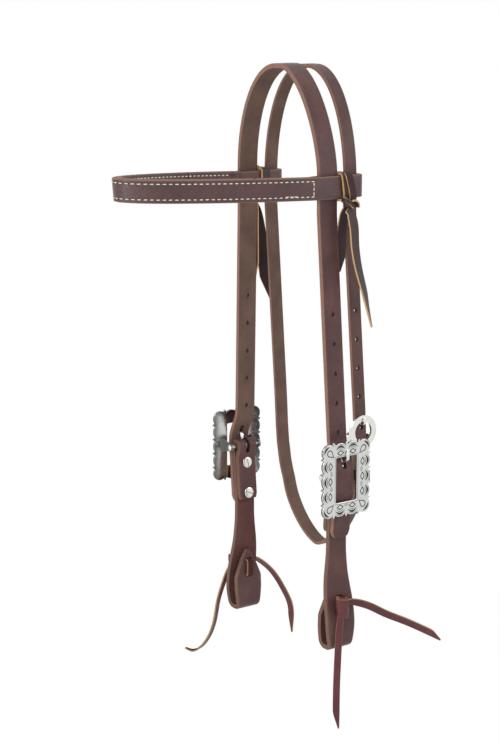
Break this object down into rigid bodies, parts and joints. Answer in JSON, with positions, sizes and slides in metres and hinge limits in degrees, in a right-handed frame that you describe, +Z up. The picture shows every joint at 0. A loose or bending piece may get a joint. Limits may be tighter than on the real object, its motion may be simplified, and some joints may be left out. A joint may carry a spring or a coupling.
{
  "type": "western headstall",
  "caption": "Western browband headstall: buckled crown strap, folded cheek straps with laced bit loops, tied browband and buckled throatlatch.",
  "frame": {"origin": "middle of the crown strap's underside, where the headstall rests on the horse's poll", "axes": "+X towards the horse's near (left) side, -Y towards the horse's face, +Z up"},
  "size_m": [0.1834, 0.2745, 0.5724],
  "materials": {
    "mahogany_strap": "oiled mahogany strap leather",
    "throatlatch_leather": "oiled mahogany strap leather, narrow",
    "browband_leather": "oiled burgundy leather, doubled",
    "tie_thong": "soft near-black latigo thong",
    "bit_lace_leather": "soft burgundy latigo lace",
    "engraved_silver": "bright silver, engraved on the front plates",
    "bright_nickel": "bright nickel screws and posts"
  },
  "bodies": {
    "headstall": {"crown_strap": "mahogany_strap", "throatlatch_strap": "throatlatch_leather", "near_buckle_frame": "engraved_silver", "far_buckle_frame": "engraved_silver", "near_buckle_bar": "engraved_silver", "far_buckle_bar": "engraved_silver", "throat_buckle_frame": "engraved_silver", "throat_fold_post": "bright_nickel", "throat_fold_screw": "bright_nickel"},
    "browband": {"browband_strap": "browband_leather", "browband_liner": "browband_leather", "near_browband_tie": "tie_thong", "far_browband_tie": "tie_thong", "near_tie_tail_long": "tie_thong", "near_tie_tail_short": "tie_thong", "far_tie_tail_long": "tie_thong", "far_tie_tail_short": "tie_thong"},
    "near_cheek": {"near_cheek_strap": "mahogany_strap", "near_cheek_upper_post": "bright_nickel", "near_cheek_upper_screw": "bright_nickel", "near_cheek_lower_post": "bright_nickel", "near_cheek_lower_screw": "bright_nickel", "near_bit_lace": "bit_lace_leather", "near_lace_tail_out": "bit_lace_leather", "near_lace_tail_down": "bit_lace_leather"},
    "far_cheek": {"far_cheek_strap": "mahogany_strap", "far_cheek_upper_post": "bright_nickel", "far_cheek_upper_screw": "bright_nickel", "far_cheek_lower_post": "bright_nickel", "far_cheek_lower_screw": "bright_nickel", "far_bit_lace": "bit_lace_leather", "far_lace_tail_rear": "bit_lace_leather", "far_lace_tail_front": "bit_lace_leather"},
    "near_tongue": {"near_buckle_tongue": "engraved_silver"},
    "far_tongue": {"far_buckle_tongue": "engraved_silver"},
    "throat_tongue": {"throat_buckle_tongue": "engraved_silver"},
    "keeper": {"throat_keeper": "throatlatch_leather"}
  },
  "joints": [
    {"name": "browband_slide", "type": "slide", "parent": "headstall", "child": "browband", "axis": [0, 0, 1], "range_m": [-0.006, 0.002]},
    {"name": "near_cheek_swing", "type": "hinge", "parent": "headstall", "child": "near_cheek", "pos_m": [0.0666, 0.0045, -0.342], "axis": [0, 1, 0], "range_deg": [0, 20]},
    {"name": "far_cheek_swing", "type": "hinge", "parent": "headstall", "child": "far_cheek", "pos_m": [-0.0666, 0.0045, -0.342], "axis": [0, -1, 0], "range_deg": [0, 20]},
    {"name": "near_tongue_pivot", "type": "hinge", "parent": "headstall", "child": "near_tongue", "pos_m": [0.0666, 0.0045, -0.342], "axis": [0, 1, 0], "range_deg": [0, 8]},
    {"name": "far_tongue_pivot", "type": "hinge", "parent": "headstall", "child": "far_tongue", "pos_m": [-0.0666, 0.0045, -0.342], "axis": [0, -1, 0], "range_deg": [0, 8]},
    {"name": "throat_tongue_pivot", "type": "hinge", "parent": "headstall", "child": "throat_tongue", "pos_m": [0.0472, 0.04015, -0.317], "axis": [0, 1, 0], "range_deg": [0, 6]},
    {"name": "keeper_slide", "type": "slide", "parent": "headstall", "child": "keeper", "axis": [0, 0, 1], "range_m": [-0.003, 0.002]}
  ]
}
